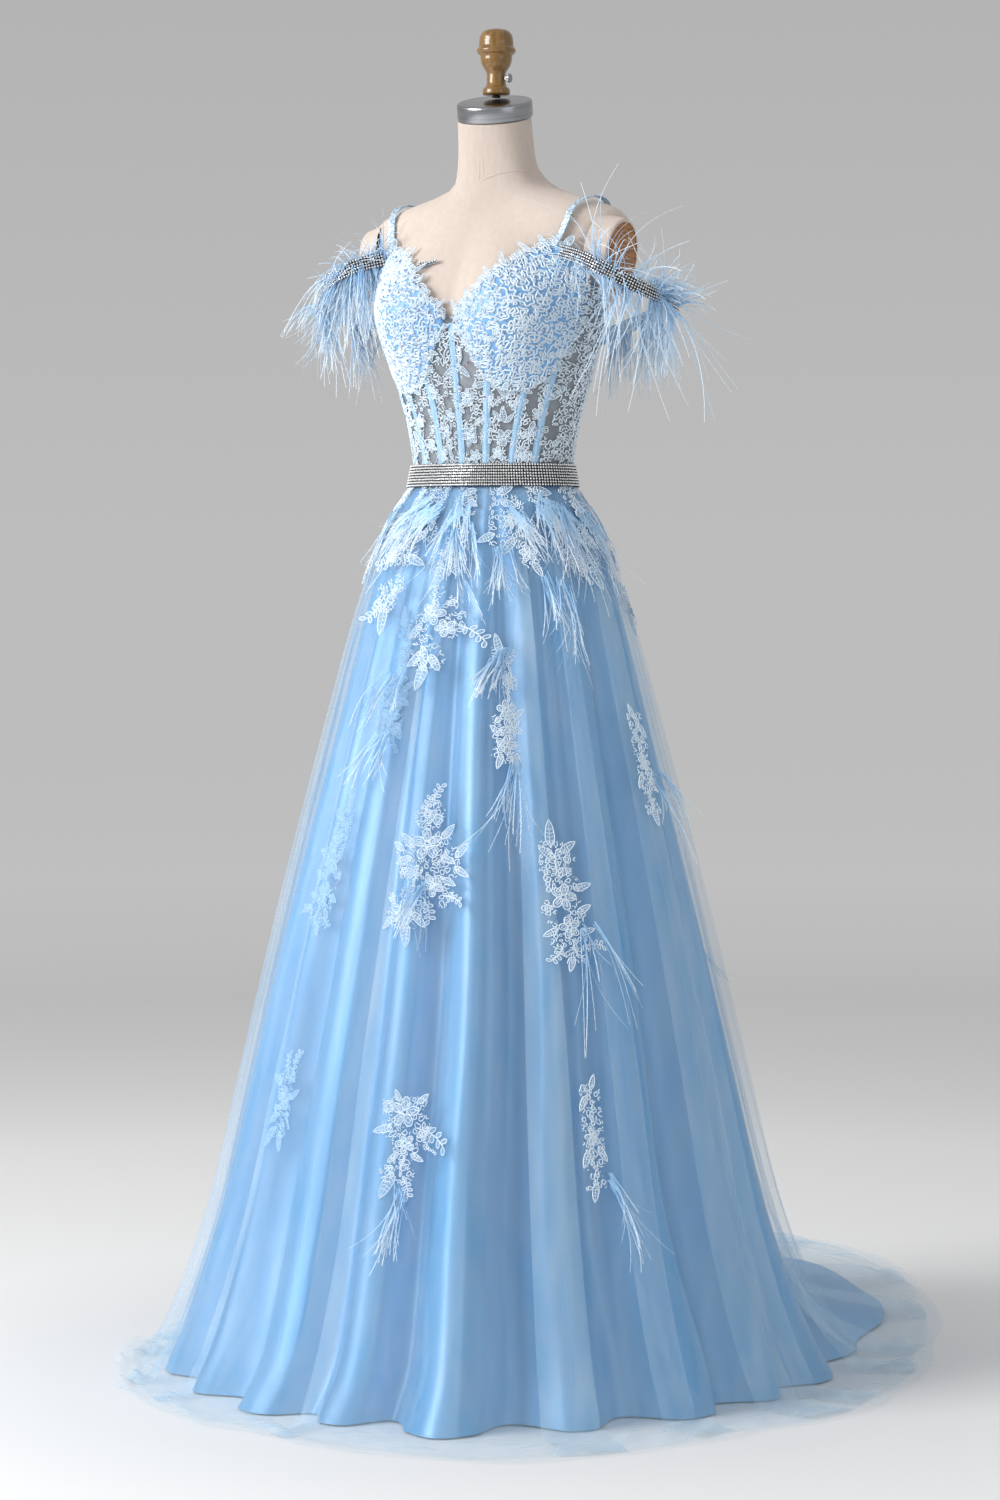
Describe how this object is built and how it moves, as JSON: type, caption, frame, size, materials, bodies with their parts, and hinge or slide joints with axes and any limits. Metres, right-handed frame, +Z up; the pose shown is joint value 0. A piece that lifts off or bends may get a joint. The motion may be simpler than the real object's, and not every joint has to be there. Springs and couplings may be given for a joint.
{
  "type": "ballroom gown on dress form",
  "caption": "Ice-blue ball gown with corset bodice, feathered off-shoulder bands, stone belt and train, on a limbless dress form with a stand.",
  "frame": {"origin": "centre of the stand base's flat underside, on the floor, under the axis of the dress form", "axes": "+Z up along the stand pole, -Y the way the gown faces, +X the wearer's left"},
  "size_m": [1.0466, 1.593, 1.6775],
  "materials": {
    "linen": "plain-woven linen stretched over the torso, pale ecru",
    "brushed_steel": "brushed, dark",
    "lacquered_wood": "turned wood under mustard-brown lacquer",
    "dark_wood": "dark stained, satin varnish",
    "satin": "ice-blue satin, soft sheen",
    "tulle": "fine sheer net, matt",
    "illusion_mesh": "sheer power mesh under leaf lace",
    "corded_lace": "corded lace, near-white on blue",
    "ostrich_feather": "dyed ostrich feather, soft",
    "stone_banding": "rows of clear set stones in silver cups",
    "painted_iron": "black, semi-gloss"
  },
  "bodies": {
    "root": {"form_torso": "linen", "neck_cap": "brushed_steel", "thumb_screw": "brushed_steel", "stand_pole": "brushed_steel", "finial": "lacquered_wood", "finial_stem": "painted_iron", "stand_base": "painted_iron", "armhole_plate_left": "dark_wood", "armhole_plate_right": "dark_wood", "cup_left": "corded_lace", "cup_right": "corded_lace", "hip_lace_1": "corded_lace", "hip_lace_2": "corded_lace", "hip_lace_3": "corded_lace", "hip_lace_4": "corded_lace", "hip_lace_5": "corded_lace", "hip_lace_6": "corded_lace", "hip_lace_7": "corded_lace", "motif_1": "corded_lace", "motif_2": "corded_lace", "motif_3": "corded_lace", "motif_4": "corded_lace", "motif_5": "corded_lace", "motif_6": "corded_lace", "motif_7": "corded_lace", "motif_8": "corded_lace", "motif_9": "corded_lace", "motif_10": "corded_lace", "motif_11": "corded_lace", "motif_12": "corded_lace", "corset_front": "illusion_mesh", "corset_back_left": "illusion_mesh", "corset_back_right": "illusion_mesh", "back_zip": "satin", "strap_left": "satin", "strap_right": "satin", "boning_1": "satin", "boning_2": "satin", "boning_3": "satin", "boning_4": "satin", "boning_5": "satin", "boning_6": "satin", "boning_7": "satin", "boning_8": "satin", "boning_9": "satin", "satin_front": "satin", "satin_side_left": "satin", "satin_side_right": "satin", "satin_back_left": "satin", "satin_back_right": "satin", "arm_band_left": "stone_banding", "arm_band_right": "stone_banding", "belt": "stone_banding", "feather_trim_left": "ostrich_feather", "feather_trim_right": "ostrich_feather", "tulle_front": "tulle", "tulle_back_left": "tulle", "tulle_back_right": "tulle"}
  },
  "joints": []
}
